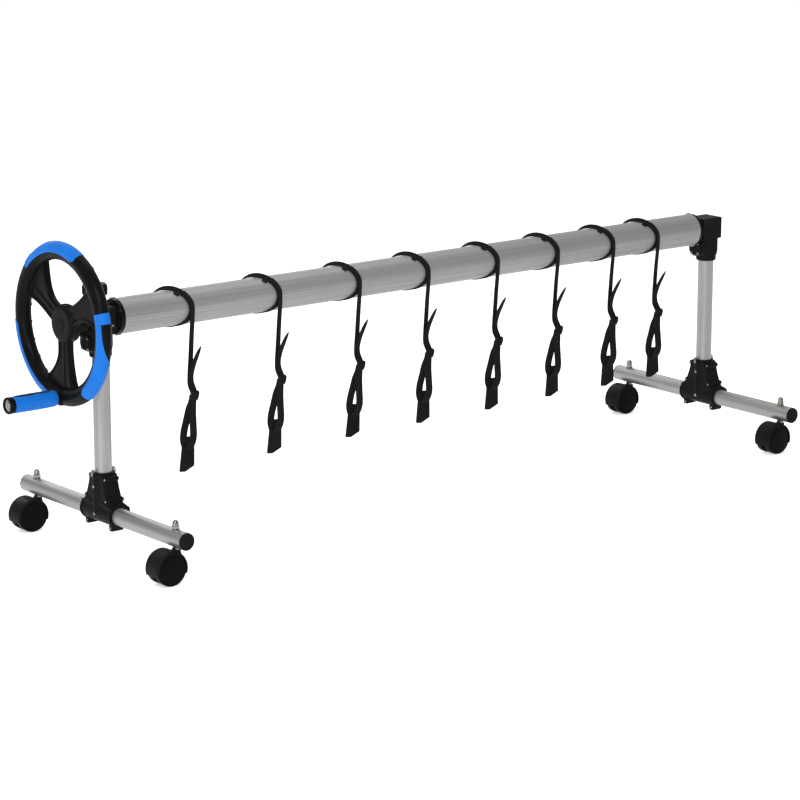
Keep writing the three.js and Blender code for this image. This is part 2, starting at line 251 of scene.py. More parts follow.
def steel_finish():
    finish = Finish("bright_zinc", (0.4, 0.39, 0.37), 0.24, metallic=1.0)
    finish.tint(finish.noise((160, 160, 160), 5), (0.12, 0.115, 0.105), (0.34, 0.33, 0.31))
    finish.roughen(finish.noise((420, 420, 420), 4), 0.17, 0.34)
    finish.bump(finish.noise((1800, 1800, 300), 2), 0.00003)
    return finish.material


def blue_rubber():
    finish = Finish("blue_soft_grip", (0.005, 0.128, 0.5), 0.46, specular=0.12)
    finish.tint(finish.noise((34, 34, 34), 4), (0.004, 0.118, 0.465), (0.006, 0.138, 0.535))
    finish.roughen(finish.noise((120, 120, 120), 5), 0.40, 0.54)
    finish.bump(finish.noise((1700, 1700, 1700), 3), 0.00005)
    return finish.material


def woven(name):
    """Black polypropylene webbing: ribs across it, a twill between them, and a soft sheen."""
    finish = Finish(name, (0.007, 0.0066, 0.0074), 0.78, specular=0.05)
    weave = finish.wave("Z", 620)
    finish.tint(weave, (0.004, 0.0036, 0.0044), (0.0115, 0.0108, 0.0122))
    finish.bump(weave, 0.00022, 0.8)
    finish.bump(finish.wave("DIAGONAL", 900), 0.00012, 0.6)
    finish.bump(finish.noise((2200, 2200, 2200), 3), 0.00006)
    finish.set("Sheen Weight", 0.015)
    finish.set("Sheen Roughness", 0.5)
    return finish.material


# Shapes, in millimetres
def turn_point(radius, along, angle, axis):
    across = radius * math.cos(angle)
    up = radius * math.sin(angle)
    if axis == "x":
        return Vector((along, across, up))
    if axis == "y":
        return Vector((across, along, up))
    return Vector((across, up, along))


def catmull(points, steps):
    """A smooth curve through points, with steps pieces between each two."""
    ends = [points[0] * 2 - points[1], *points, points[-1] * 2 - points[-2]]
    curve = []
    for a, b, c, d in zip(ends, ends[1:], ends[2:], ends[3:]):
        for i in range(steps):
            t = i / steps
            curve.append(0.5 * (2 * b + (c - a) * t + (2 * a - 5 * b + 4 * c - d) * t * t
                                + (3 * b - a - 3 * c + d) * t ** 3))
    return [*curve, points[-1].copy()]


def polar(radius, degrees):
    """A point across the reel's axis as (y, z): 0 degrees is towards -Y and 90 is up."""
    angle = math.radians(degrees)
    return -radius * math.cos(angle), radius * math.sin(angle)


class Shape:
    """Closed shells gathered into one mesh."""

    def __init__(self):
        self.verts = []
        self.faces = []

    def add(self, verts, faces):
        start = len(self.verts)
        self.verts += [Vector(v) for v in verts]
        self.faces += [[start + i for i in face] for face in faces]
        return self

    def loft(self, rings, closed=False):
        """Rings of points joined one to the next, with flat ends unless the last joins the first."""
        count = len(rings[0])
        faces = []
        spans = len(rings) if closed else len(rings) - 1
        for i in range(spans):
            low, high = i * count, ((i + 1) % len(rings)) * count
            for j in range(count):
                k = (j + 1) % count
                faces.append([low + j, low + k, high + k, high + j])
        if not closed:
            faces.append(list(range(count))[::-1])
            faces.append([(len(rings) - 1) * count + j for j in range(count)])
        return self.add([point for ring in rings for point in ring], faces)

    def lathe(self, profile, at=(0, 0, 0), axis="x", steps=48, hollow=False):
        """A profile of (radius, distance) turned about an axis; a solid one starts and ends near it."""
        rings = []
        for radius, along in profile:
            angles = [2 * math.pi * (i + 0.5) / steps for i in range(steps)]
            ring = [turn_point(max(radius, 0.02), along, angle, axis) + Vector(at) for angle in angles]
            rings.append(ring)
        return self.loft(rings, closed=hollow)

    def prism(self, outline, low, high, at=(0, 0, 0), axis="x"):
        """An outline of (a, b) carried along an axis; a and b are the two others, in order."""
        rings = []
        for along in (low, high):
            if axis == "x":
                ring = [Vector((along, a, b)) for a, b in outline]
            elif axis == "y":
                ring = [Vector((a, along, b)) for a, b in outline]
            else:
                ring = [Vector((a, b, along)) for a, b in outline]
            rings.append([point + Vector(at) for point in ring])
        return self.loft(rings)

    def block(self, x, y, z, at=(0, 0, 0)):
        return self.prism([(x[0], y[0]), (x[1], y[0]), (x[1], y[1]), (x[0], y[1])], *z, at=at, axis="z")

    def join(self, other, matrix=None):
        matrix = matrix or Matrix.Identity(4)
        return self.add([matrix @ v for v in other.verts], other.faces)

    def ribbon(self, path, sides, width, thick, taper=0.0):
        """Flat webbing along a path; sides are its directions across, and taper narrows its end."""
        rings = []
        last = len(path) - 1
        for i, point in enumerate(path):
            ahead = path[min(i + 1, last)] - path[max(i - 1, 0)]
            side = (sides[i] - ahead * sides[i].dot(ahead) / ahead.length_squared).normalized()
            out = ahead.normalized().cross(side)
            half = width / 2 * (1 - taper * (i / last) ** 7)
            corners = [(-1, -0.25), (-0.94, -0.5), (0.94, -0.5), (1, -0.25)]
            corners += [(-a, -b) for a, b in corners]
            rings.append([point + side * a * half + out * b * thick for a, b in corners])
        return self.loft(rings)


def rounded(a, b, radius, steps=5):
    """A rectangle's outline from corner a to corner b, with round corners."""
    points = []
    centres = [(b[0] - radius, b[1] - radius, 0), (a[0] + radius, b[1] - radius, 90)]
    centres += [(a[0] + radius, a[1] + radius, 180), (b[0] - radius, a[1] + radius, 270)]
    for x, y, start in centres:
        for i in range(steps + 1):
            angle = math.radians(start + 90 * i / steps)
            points.append((x + radius * math.cos(angle), y + radius * math.sin(angle)))
    return points


def baked(piece):
    """Replaces the piece's mesh by what its modifiers make of it."""
    bpy.context.view_layer.update()
    graph = bpy.context.evaluated_depsgraph_get()
    mesh = bpy.data.meshes.new_from_object(piece.evaluated_get(graph))
    piece.modifiers.clear()
    piece.data = mesh


def build(name, shape, body, finish, replaces=(), voxel=0.0, soften=0, bevel=0.0, crease=38):
    """Makes a shape into a piece that rides on a body."""
    mesh = bpy.data.meshes.new(name)
    mesh.from_pydata([v * MM for v in shape.verts], [], shape.faces)
    shell = bmesh.new()
    shell.from_mesh(mesh)
    bmesh.ops.recalc_face_normals(shell, faces=shell.faces)
    shell.to_mesh(mesh)
    shell.free()
    piece = bpy.data.objects.new(name, mesh)
    bpy.context.scene.collection.objects.link(piece)
    if bevel:
        edge = piece.modifiers.new("edges", "BEVEL")
        edge.width = bevel * MM
        edge.segments = 3
        edge.limit_method = "ANGLE"
        edge.angle_limit = math.radians(30)
    if voxel:
        skin = piece.modifiers.new("skin", "REMESH")
        skin.mode = "VOXEL"
        skin.voxel_size = voxel * MM
        skin.use_smooth_shade = True
    if soften:
        fillet = piece.modifiers.new("fillets", "SMOOTH")
        fillet.factor = 0.5
        fillet.iterations = soften
    if piece.modifiers:
        baked(piece)
    piece.data.shade_smooth()
    piece.data.set_sharp_from_angle(angle=math.radians(crease))
    piece.data.materials.clear()
    piece.data.materials.append(finish)
    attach(piece, body)
    if replaces:
        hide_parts(*replaces)


def screw(shape, at, towards, radius=4.2):
    """A pan head with a driver recess, standing out of a face at a point."""
    profile = [(0, -2), (radius, -2), (radius, 0.7), (radius * 0.86, 1.8), (radius * 0.55, 2.5)]
    profile += [(radius * 0.4, 2.6), (radius * 0.34, 1.4), (0, 1.2)]
    head = Shape().lathe(profile, axis="z", steps=24)
    turn = Vector((0, 0, 1)).rotation_difference(Vector(towards)).to_matrix().to_4x4()
    shape.join(head, Matrix.Translation(at) @ turn)


# Main tube
def tube_ring(x, radius, grooves=True):
    """One ring of the tube's section: round, with three narrow keyways and shallow flats between."""
    ring = []
    steps = 180
    for i in range(steps):
        degrees = 360 * i / steps
        dip = 0.0
        for key in KEYWAYS:
            away = abs((degrees - key + 180) % 360 - 180)
            if away < 2.5 and grooves:
                dip = 0.6 if away < 1.2 else 0.3
            elif 9 < away < 11.5 and grooves:
                dip = max(dip, 0.12)
        ring.append(Vector((x, *polar(radius - dip, degrees))) + Vector((0, 0, REEL_Z)))
    return ring


def add_tube():
    start, end = TUBE_ENDS
    inner = TUBE_RADIUS - TUBE_WALL
    spans = [start + (end - start) * i / 12 for i in range(13)]
    rings = [tube_ring(x, TUBE_RADIUS) for x in spans]
    rings += [tube_ring(x, inner, grooves=False) for x in spans[::-1]]
    tube = Shape().loft(rings, closed=True)
    build("tube", tube, "reel", FINISH["tube"], ["main_tube"], crease=25)
    rivets = Shape()
    for x in (end + 2, start - 2):
        for degrees in (105, 285):
            y, z = polar(TUBE_RADIUS, degrees)
            screw(rivets, (x, y, REEL_Z + z), (0, y, z), 7)
    build("tube_screws", rivets, "reel", FINISH["steel"])


def add_plug(side):
    """The stepped flange and shaft at one end of the tube."""
    way = -1 if side == "left" else 1
    end = TUBE_ENDS[0] if side == "left" else TUBE_ENDS[1]
    node = "drive_plug" if side == "left" else "idler_plug"
    far = reach(node, 0)[0 if side == "left" else 1]
    steps = [(0, -40), (38, -40), (38, 0.1), (39.4, 0.1), (39.5, 1), (39.5, 9.5), (38.5, 11)]
    steps += [(33, 11.2), (32.4, 12), (32.4, 14.2), (31.4, 15), (12, 15.2)]
    profile = [(radius, end + along * way) for radius, along in steps] + [(12, far), (0, far)]
    plug = Shape().lathe(profile, (0, 0, REEL_Z), "x", 96)
    build(side + "_flange", plug, "reel", FINISH["gloss"], [node], crease=30)


# Handwheel
def rim_point(ring, section, lift=0.0):
    """A point on the rim: ring degrees as in polar, section degrees from outward towards -X."""
    angle = math.radians(section)
    out = (RIM["across"] + lift) * math.cos(angle)
    front = (RIM["deep"] + lift) * math.sin(angle)
    y, z = polar(RIM["centre"] + out, ring)
    return Vector((WHEEL_X - front, y, REEL_Z + z))


def rim_rib(shape, centre):
    """A low rib across the back of the rim, where the fingers close."""
    rings = []
    for section in range(-158, -21, 8):
        fade = math.sin(math.radians((section + 158) / 136 * 180)) ** 0.5
        ring = [rim_point(centre + a, section, -1.5 + b * fade) for a, b in
                ((-1.5, 0), (-1.1, 2.6), (-0.4, 3.4), (0.4, 3.4), (1.1, 2.6), (1.5, 0))]
        rings.append(ring)
    shape.loft(rings)


def spoke_shape(degrees):
    """A broad spoke, dished in front between raised edges, that widens into the rim on one side."""
    rings = []
    for i in range(25):
        along = 20 + 135 * i / 24
        flare = max(0.0, (along - 55) / 60)
        widest = math.sqrt(SPOKE_REACH ** 2 - along ** 2)
        inner = min(22 + 36 * flare ** 2.1, widest)
        half = min(22 + 5 * flare ** 3, widest)
        back = 14.5 + 3 * min(flare, 1)
        section = [(-inner, 3.5), (-inner + 2, -1), (-inner + 6, -2.5), (-inner + 11, 1), (-4, 1.5)]
        section += [(-2.5, -1), (2.5, -1), (4, 1.5), (half - 11, 1), (half - 6, -2.5), (half - 2, -1)]
        section += [(half, 3.5), (half, 10.5), (half - 3, back), (-inner + 3, back), (-inner, back - 4)]
        ring = []
        for across, deep in section:
            angle = math.radians(degrees)
            outward = Vector((0, -math.cos(angle), math.sin(angle)))
            sideways = Vector((0, math.sin(angle), math.cos(angle)))
            ring.append(Vector((WHEEL_X + deep, 0, REEL_Z)) + outward * along + sideways * across)
        rings.append(ring)
    return Shape().loft(rings)


def add_handwheel():
    centre = (WHEEL_X, 0, REEL_Z)
    wheel = Shape()
    rings = []
    for i in range(144):
        rings.append([rim_point(2.5 * i, 10 * j) for j in range(36)])
    wheel.loft(rings, closed=True)
    for degrees in SPOKES:
        wheel.join(spoke_shape(degrees))
    hub = [(0, HUB_FRONT), (33, HUB_FRONT), (38.5, -4.8), (41.5, -1.5), (41.5, 20), (39, 23), (29, 24)]
    hub += [(29, 51), (0, 51)]
    wheel.lathe(hub, centre, "x", 72)
    crank = (WHEEL_X, 0, CRANK_Z)
    wheel.lathe([(0, -18), (16, -18), (19, -14), (20, 16), (0, 16)], crank, "x", 48)
    build("handwheel_body", wheel, "reel", FINISH["gloss"], ["handwheel"],
          voxel=1.3, soften=5)
    details = Shape()
    for i in range(RIM["ribs"]):
        rim_rib(details, 360 / RIM["ribs"] * (i + 0.5))
    for degrees in (76, 90, 104):
        y, z = polar(39.5, degrees)
        details.lathe([(0, -3), (3, -3), (4, -1), (4, 16), (0, 16)], (WHEEL_X, y, REEL_Z + z), "x", 20)
    build("handwheel_ribs", details, "reel", FINISH["gloss"])
    outline = [(0, -18.6), (8, -18.5), (11.5, -17.8), (12, -17.2), (13.6, -17.2), (14, -17.6)]
    outline += [(14, -15), (0, -15)]
    cap = Shape().lathe(outline, (WHEEL_X + CAP_DEPTH, 0, REEL_Z), "x", 48)
    build("hub_centre_cap", cap, "reel", FINISH["black"], ["hub_cap"])


def grip_edges(turn):
    """Where a grip starts and ends round the rim's section, at an angle from its middle."""
    low, high = -30.0, 100.0
    if WINDOW[0] < turn < WINDOW[1]:
        low += 80 * (1 - ((WINDOW[1] - turn) / (WINDOW[1] - WINDOW[0])) ** 3)
    if turn < -35:
        high -= 30 * ((-35 - turn) / 5) ** 2
    return low, high


def add_grip(number, centre):
    """A soft patch let into the rim: a hook at one end, a window in it and a round end."""
    start, band = WINDOW
    turns = [-40, -39.7, -38.5, -37, -35.5] + [-34 + 1.5 * i for i in range(20)]
    turns += [start + (band - 0.1 - start) * i / 24 for i in range(25)] + [band + 0.1]
    turns += [band + (GRIP_END - band) * share for share in (0.2, 0.5, 0.8, 0.95, 1)]
    columns = 26
    rows = []
    for turn in turns:
        low, high = grip_edges(turn)
        at_end = turn in (turns[0], turns[-1])
        row = []
        for j in range(columns + 1):
            share = j / columns
            edge = min(share, 1 - share) * (high - low)
            lift = -1.2 if at_end or j in (0, columns) else 0.9 if edge < 3.5 or turn < -39.5 else 1.25
            row.append((turn, low + (high - low) * share, lift))
        rows.append(row)
    rings = []
    for row in rows:
        top = [rim_point(centre + a, b, lift) for a, b, lift in row]
        under = [rim_point(centre + a, b, -2.2) for a, b, _ in row[::-1]]
        rings.append(top + under)
    grip = Shape().loft(rings)
    name = "rim_grip_" + str(number)
    build(name + "_cover", grip, "reel", FINISH["blue"], [name], crease=45)


# Crank handle
def add_crank():
    low, high = reach("handle_grip", 0)
    at = (0, 0, CRANK_Z)
    grip = [(12.5, low), (17.2, low), (18.2, low + 1), (18.4, low + 3), (18.6, low + 30)]
    grip += [(18.9, low + 60), (18.6, high - 24), (18.2, high - 8), (17.4, high - 3)]
    grip += [(15.8, high - 0.6), (12.5, high)]
    sleeve = Shape().lathe(grip, at, "x", 72, hollow=True)
    build("crank_grip", sleeve, "crank_handle", FINISH["blue"], ["handle_grip"])
    inlay = Shape()
    rings = []
    for i in range(33):
        share = i / 32
        x = low + 5 + (high - low - 16) * share
        wide = 14 + 7 * math.sin(math.pi * share) - 6 * max(0.0, 1 - abs(share - 0.55) * 9)
        fade = min(1.0, share * 9 + 0.1, (1 - share) * 9 + 0.1) ** 0.5
        top = [(88 - wide * fade * a, 19.4) for a in (1, 0.6, 0.2, -0.2, -0.6, -1)]
        ring = [Vector((x, *polar(r, d))) + Vector(at) for d, r in top]
        ring += [Vector((x, *polar(r - 2.6, d))) + Vector(at) for d, r in top[::-1]]
        rings.append(ring)
    inlay.loft(rings)
    build("crank_inlay", inlay, "crank_handle", FINISH["black"])
    core = [(5.6, low + 1), (12, low + 1), (12, high + 3), (5.6, high + 3)]
    shell = Shape().lathe(core, at, "x", 48, hollow=True)
    build("crank_core", shell, "crank_handle", FINISH["black"], ["handle_core"],
          bevel=0.5)
    face = reach("handle_end_cap", 0)[0]
    cap = [(5.6, low - 0.2), (5.6, face + 6), (12.6, face + 6), (12.8, face + 1), (13.4, face + 0.2)]
    cap += [(17.2, face + 0.2), (18.5, face + 1.6), (18.7, face + 4), (18.3, low - 1.4)]
    cap += [(17.6, low - 0.2)]
    ring = Shape().lathe(cap, at, "x", 72, hollow=True)
    build("crank_end_ring", ring, "crank_handle", FINISH["gloss"], ["handle_end_cap"])
    bolt = Shape().lathe([(0, high + 4), (5, high + 4), (5, face + 3.4), (0, face + 3.4)], at, "x", 32)
    head = [(0, 5.6), (12.3, 5.6), (12.3, 2.6), (8, 2.3), (7.4, 1.4), (3, 1), (2.2, 2), (0, 2)]
    bolt.lathe([(radius, face + along) for radius, along in head], at, "x", 48)
    end = reach("handle_bolt", 0)[1]
    bolt.lathe([(0, high), (5, high), (5, end - 2), (0, end)], at, "x", 24)
    nut = [(0, -7), (9, -7), (9, -1.6), (7.6, -0.8), (0, -0.8)]
    bolt.lathe([(radius, end + along) for radius, along in nut], at, "x", 6)
    build("crank_bolt", bolt, "reel", FINISH["steel"], ["handle_bolt"])


# Brake
def add_knob():
    lobes = 7
    levels = [(0, 0.62, 0.2), (1.5, 0.86, 0.6), (4, 0.97, 0.9), (7, 1, 1), (21, 1, 1), (25, 0.96, 0.85)]
    levels += [(27.4, 0.86, 0.6), (28, 0.7, 0.3), (27, 0.5, 0), (26.4, 0.44, 0)]
    top = reach("brake_knob", 2)[1]
    rings = []
    for height, scale, lobe in levels:
        ring = []
        for i in range(lobes * 16):
            angle = 2 * math.pi * i / (lobes * 16)
            swell = abs(math.cos(lobes * angle / 2)) ** 1.6
            radius = (28.5 - 4.6 * (1 - swell) * lobe) * scale
            x, y = KNOB_X + radius * math.cos(angle), radius * math.sin(angle)
            ring.append(Vector((x, y, top - 28 + height)))
        rings.append(ring)
    knob = Shape().loft(rings)
    skirt = [(0, top - 34), (13, top - 34), (15, top - 31), (16, top - 26), (0, top - 26)]
    knob.lathe(skirt, (KNOB_X, 0, 0), "z")
    build("brake_knob_grip", knob, "brake_knob", FINISH["satin"], ["brake_knob"],
          crease=28)
    thread = [(0, 19 + REEL_Z)]
    for i in range(20):
        low = REEL_Z + 20 + 1.5 * i
        thread += [(4.3, low), (5, low + 0.75)]
    thread += [(4.3, REEL_Z + 50), (0, REEL_Z + 50)]
    rod = Shape().lathe(thread, (KNOB_X, 0, 0), "z", 24)
    build("brake_screw", rod, "brake_knob", FINISH["steel"], crease=60)
    low, high = reach("brake_shoe", 2)
    pad = Shape().lathe([(0, low), (4, low), (4.6, low + 0.6), (4.6, high - 0.5), (4, high), (0, high)],
                        (KNOB_X, 0, 0), "z", 24)
    build("brake_pad", pad, "brake_shoe", FINISH["steel"], ["brake_shoe"])


# Stands
def head_shell(side):
    """One bearing head: a square housing that narrows down to a collar round the upright."""
    x = UPRIGHT_X[side]
    upper = rounded((-38, -26), (26, 28), 2.5)
    lower = [(-37, -20), (17, -20), (17, -58), (14, -68), (5, -75), (-20, -75), (-32, -68), (-37, -56)]
    shell = Shape().prism(upper, -28, 28, (x, 0, REEL_Z), "y")
    shell.prism(lower, -25, 25, (x, 0, REEL_Z), "y")
    collar = [(0, -70), (24.5, -70), (25.5, -74), (25.5, -80), (24, -83.5), (0, -83.5)]
    shell.lathe(collar, (x, 0, REEL_Z), "z", 64)
    shell.lathe([(0, -40), (16, -40), (17, -37), (17, -30), (0, -30)], (x, 0, REEL_Z), "x", 48)
    shell.prism(rounded((-19, -66), (19, -32), 9), -40, -30, (x, 0, REEL_Z), "x")
    if side == "left":
        boss = [(0, 20), (13, 20), (13, 31), (11.5, 33.5), (0, 33.5)]
        shell.lathe(boss, (KNOB_X, 0, REEL_Z), "z", 48)
    for y in (-18, -9, 0, 9, 18):
        shell.block((17, 18.4), (y - 1.2, y + 1.2), (-55, -30), (x, 0, REEL_Z))
        shell.block((y - 11.2, y - 8.8), (-26.3, -24), (-58, -30), (x, 0, REEL_Z))
    return shell


def add_head(side):
    x = UPRIGHT_X[side]
    nodes = [side + "_head_outer", side + "_head_inner"]
    build(side + "_head_shell", head_shell(side), "frame", FINISH["black"], nodes,
          voxel=0.9, soften=3)
    seam = Shape()
    seam.block((-38.25, -37.7), (-23, 23), (-50.8, -50.1), (x, 0, REEL_Z))
    seam.block((-0.4, 0.4), (-28.2, -27.5), (-20, 26), (x, 0, REEL_Z))
    seam.block((18, 24), (-28.25, -27), (19, 23), (x, 0, REEL_Z))
    build(side + "_head_seams", seam, "frame", FINISH["gloss"])
    screws = Shape()
    for y, z in ((-11, -38), (-11, -62), (11, -62), (11, -38)):
        screw(screws, (x - 40, y, REEL_Z + z), (-1, 0, 0), 3.6 if z < -50 else 2.6)
    if side == "left":
        for along, z, face in ((15, -12.5, 28), (12, -55, 25)):
            screw(screws, (x + along, -face, REEL_Z + z), (0, -1, 0), 3.2)
            screw(screws, (x + along, face, REEL_Z + z), (0, 1, 0), 3.2)
    build(side + "_head_screws", screws, "frame", FINISH["steel"])
    sleeve = [(12.4, -2), (15, -2), (15, 24), (12.4, 24)]
    bush = Shape().lathe(sleeve, (x, 0, REEL_Z), "x", 48, hollow=True)
    build(side + "_bush_ring", bush, "frame", FINISH["steel"], [side + "_bush"], bevel=0.3)


def tee_gusset():
    """The tee's side view as (y, z): concave flanks from the sleeve up to the collar."""
    flank = [Vector((58, 6)), Vector((50, 21)), Vector((40, 38)), Vector((32.5, 56)), Vector((27, 74)),
             Vector((23.5, 88))]
    curve = [(point.x, point.y) for point in catmull(flank, 4)]
    return curve + [(-y, z) for y, z in curve[::-1]]


def tee_shell(side):
    at = (UPRIGHT_X[side], 0, FOOT_Z)
    shell = Shape().prism(tee_gusset(), -20.5, 20.5, at, "x")
    sleeve = [(0, -60), (25.5, -60), (26.6, -58.5), (26.6, -55), (24.6, -53), (24.6, 53), (26.6, 55)]
    shell.lathe([*sleeve, (26.6, 58.5), (25.5, 60), (0, 60)], at, "y", 64)
    collar = [(0, 0), (24.6, 0), (24.6, 76), (26, 79), (26, 89), (24.6, 91.5), (0, 91.5)]
    shell.lathe(collar, at, "z", 64)
    shell.block((-26.5, -16), (-3, 3), (-4, 88), at)
    shell.block((16, 26.5), (-3, 3), (-4, 88), at)
    for way in (-1, 1):
        shell.lathe([(0, -16.5), (5.8, -16.5), (6.6, -15), (6.6, 15), (5.8, 16.5), (0, 16.5)],
                    (at[0], way * 29.5, at[2] + 79), "x", 32)
        shell.lathe([(0, -22), (5.4, -22), (6, -20), (6, 20), (5.4, 22), (0, 22)],
                    (at[0], way * 40, at[2] + 33), "x", 32)
        shell.prism(rounded((-7.5, -34), (7.5, -18), 4), -15, 15, (at[0], way * 47, at[2]), "x")
        ledge = [(way * 22, 22), (way * 57, 18), (way * 57, 22), (way * 22, 30)]
        shell.prism(ledge, -23.5, 23.5, at, "x")
    lip = [(14, -24), (25, -18), (30, 0), (28, 18), (14, 26)]
    shell.prism(lip, -60, -55.5, at, "y")
    return shell


def add_tee(side):
    x = UPRIGHT_X[side]
    nodes = [side + "_tee_outer", side + "_tee_inner"]
    build(side + "_tee_shell", tee_shell(side), "frame", FINISH["black"], nodes,
          voxel=0.95, soften=3)
    screws = Shape()
    for way in (-1, 1):
        for y, z, deep in ((29.5, 79, 16.5), (40, 33, 22), (47, -27, 15)):
            screw(screws, (x - deep, way * y, FOOT_Z + z), (-1, 0, 0), 3)
            nut = Shape().lathe([(0, -1), (4.4, -1), (4.4, 3), (3.8, 3.6), (0, 3.6)], (0, 0, 0), "x", 6)
            screws.join(nut, Matrix.Translation((x + deep, way * y, FOOT_Z + z)))
        horn = [(24, 84), (31, 84), (31, 92), (28.5, 98.5), (25.5, 98.5), (24, 95)]
        screws.prism([(way * a, b) for a, b in horn], -3.2, 3.2, (x, 0, FOOT_Z), "y")
    for way in (-1, 1):
        screw(screws, (x + way * 26.5, 0.5, FOOT_Z + 60), (way, 0, 0), 3.8)
        screw(screws, (x + way * 26.3, 0.5, FOOT_Z - 1), (way, 0, 0), 3.8)
    build(side + "_tee_screws", screws, "frame", FINISH["steel"])


def add_bar(name, node, at, axis, finish):
    """A round tube as long as its CAD node, along an axis."""
    low, high = reach(node, "xyz".index(axis))
    inner = FOOT_RADIUS - FOOT_WALL
    ring = [(inner, low), (FOOT_RADIUS, low), (FOOT_RADIUS, high), (inner, high)]
    bar = Shape().lathe(ring, at, axis, 96, hollow=True)
    build(name, bar, "frame", finish, [node])


def add_stand(side):
    x = UPRIGHT_X[side]
    add_bar(side + "_upright_tube", side + "_upright", (x, 0, 0), "z", FINISH["upright"])
    add_bar(side + "_foot", side + "_foot_tube", (x, 0, FOOT_Z), "y", FINISH["foot"])
    for way, end in ((-1, "front"), (1, "rear")):
        face = way * FOOT_HALF
        cap = [(0, 20), (17.4, 20), (17.7, 3), (19.3, 2.9), (19.4, 0.9), (18.6, 0), (15.4, 0)]
        cap += [(14.8, 0.8), (5, 1), (4.4, 0.4), (0, 0.4)]
        cap = [(radius, face - inward * way) for radius, inward in cap]
        plug = Shape().lathe(cap, (x, 0, FOOT_Z), "y", 64)
        for i in range(6):
            spoke = Shape().block((6, 14), (-0.45, 0.45), (-0.8, 0.8))
            turn = Matrix.Rotation(math.radians(60 * i), 4, "Y")
            plug.join(spoke, Matrix.Translation((x, face - 0.9 * way, FOOT_Z)) @ turn)
        build(side + "_foot_plug_" + end, plug, "frame", FINISH["satin"],
              [side + "_foot_cap_" + end])


# Casters
def add_caster(corner):
    stem = middle(corner + "_caster_stem")
    wheel = middle(corner + "_caster_wheel")
    at = (wheel.x, wheel.y, wheel.z)
    foot = (stem.x, stem.y, 0)
    top = FOOT_Z + FOOT_RADIUS
    under = FOOT_Z - FOOT_RADIUS
    bolt = Shape()
    bolt.lathe([(0, 61), (4, 61), (4, under - 5), (5, under - 5), (5, top + 17)], foot, "z", 32)
    collar = [(0, -6), (8, -6), (8, -1.2), (7, -0.4), (0, -0.4)]
    bolt.lathe([(radius, under + up) for radius, up in collar], foot, "z", 32)
    washer = [(0, -0.6), (9, -0.6), (9, 0.9), (0, 0.9)]
    bolt.lathe([(radius, top + up) for radius, up in washer], foot, "z", 32)
    nut = [(0, 0.9), (7.2, 0.9), (8.6, 2), (8.6, 8), (7.2, 9.4), (0, 9.4)]
    bolt.lathe([(radius, top + up) for radius, up in nut], foot, "z", 6)
    dome = [(0, 9), (7, 9), (7.2, 12), (6.6, 15.5), (4.8, 18.6), (2.4, 20.4), (0, 20.9)]
    bolt.lathe([(radius, top + up) for radius, up in dome], foot, "z", 32)
    build(corner + "_stem_bolt", bolt, "frame", FINISH["steel"], [corner + "_caster_stem"])
    hood = Shape()
    section = [(38.2, -24.6), (35.6, -24.9), (35.2, -24.2), (35.6, -23.6), (38, -23.3), (38.4, -22)]
    section += [(r, -y) for r, y in section[::-1]]
    section += [(39.8, 22.5), (40, 19), (40, -19), (39.8, -22.5)]
    rings = []
    for i in range(45):
        angle = math.radians(-20 + 220 * i / 44)
        turned = [Vector((r * math.cos(angle), y, r * math.sin(angle))) for r, y in section]
        rings.append([point + Vector(at) for point in turned])
    hood.loft(rings)
    arch = [(-36, 2), (-27, 27), (-12, 37.6), (12, 37.6), (27, 27), (36, 2), (14, -9), (-14, -9)]
    hood.prism(arch, -3.5, 3.5, at, "y")
    neck = [(4.4, 57), (13.5, 57), (12.2, 64), (11, 67), (10.6, 73), (9.6, 74), (4.4, 74)]
    hood.lathe(neck, foot, "z", 48, hollow=True)
    build(corner + "_hood_shell", hood, corner + "_swivel", FINISH["satin"],
          [corner + "_caster_hood"], bevel=0.35)
    discs = Shape()
    for way in (-1, 1):
        disc = [(0, 5), (34, 5), (36.4, 6), (37, 8), (37, 20.5), (36.2, 22.4), (34.6, 22.9)]
        disc += [(33.4, 22.2), (32.8, 22.2), (30, 22.9), (20, 24), (9, 24.4), (8.2, 23.6)]
        disc += [(7, 23.6), (6, 24.3), (0, 24.5)]
        discs.lathe([(r, y * way) for r, y in disc], at, "y", 96)
    discs.lathe([(0, -6), (4.5, -6), (4.5, 6), (0, 6)], at, "y", 32)
    build(corner + "_wheel_discs", discs, corner + "_roller", FINISH["wheel"],
          [corner + "_caster_wheel"], crease=25)


# Straps
STRAP_WIDTH = 13.5
EYE_WIDTH = 16      # the doubled webbing of the eye, below the slider
EYE_TWIST = -34     # how far the eye is turned from facing -Y, in degrees
SWAY = (-8, -6, -7, 0, 0, 3, 5, 9)      # how far each plate hangs to one side
SHORT = (-2, 2, 5, 7, 8, 12, 12, 13)    # how much higher each plate ends
SWAY_TOP = -60      # the height from the reel's axis where the sway starts
SWAY_DROP = 310     # how far below that the sway is whole
STRAP_LEAN = 0.81   # how far the loop slants towards -X for each unit towards +Y
LOOP_RADIUS = 41.2
LOOP_SHIFT = -2
LOOP_TILT = 38      # how far the webbing stands up on its edge behind the buckle, in degrees
TILT_CENTRE = 98    # where on the loop it stands up most, in degrees
BUCKLE_AT = 66      # where on the loop the buckle lies, in degrees


def across(degrees):
    """A horizontal direction across the webbing, turned from +X."""
    angle = math.radians(degrees)
    return Vector((math.cos(angle), math.sin(angle), 0))


def loop_tilt(degrees):
    """How far the webbing stands on its edge at a point of the loop, in radians."""
    away = abs((degrees - TILT_CENTRE + 180) % 360 - 180)
    return math.radians(LOOP_TILT) * math.cos(math.radians(away * 1.2)) ** 2 if away < 75 else 0.0


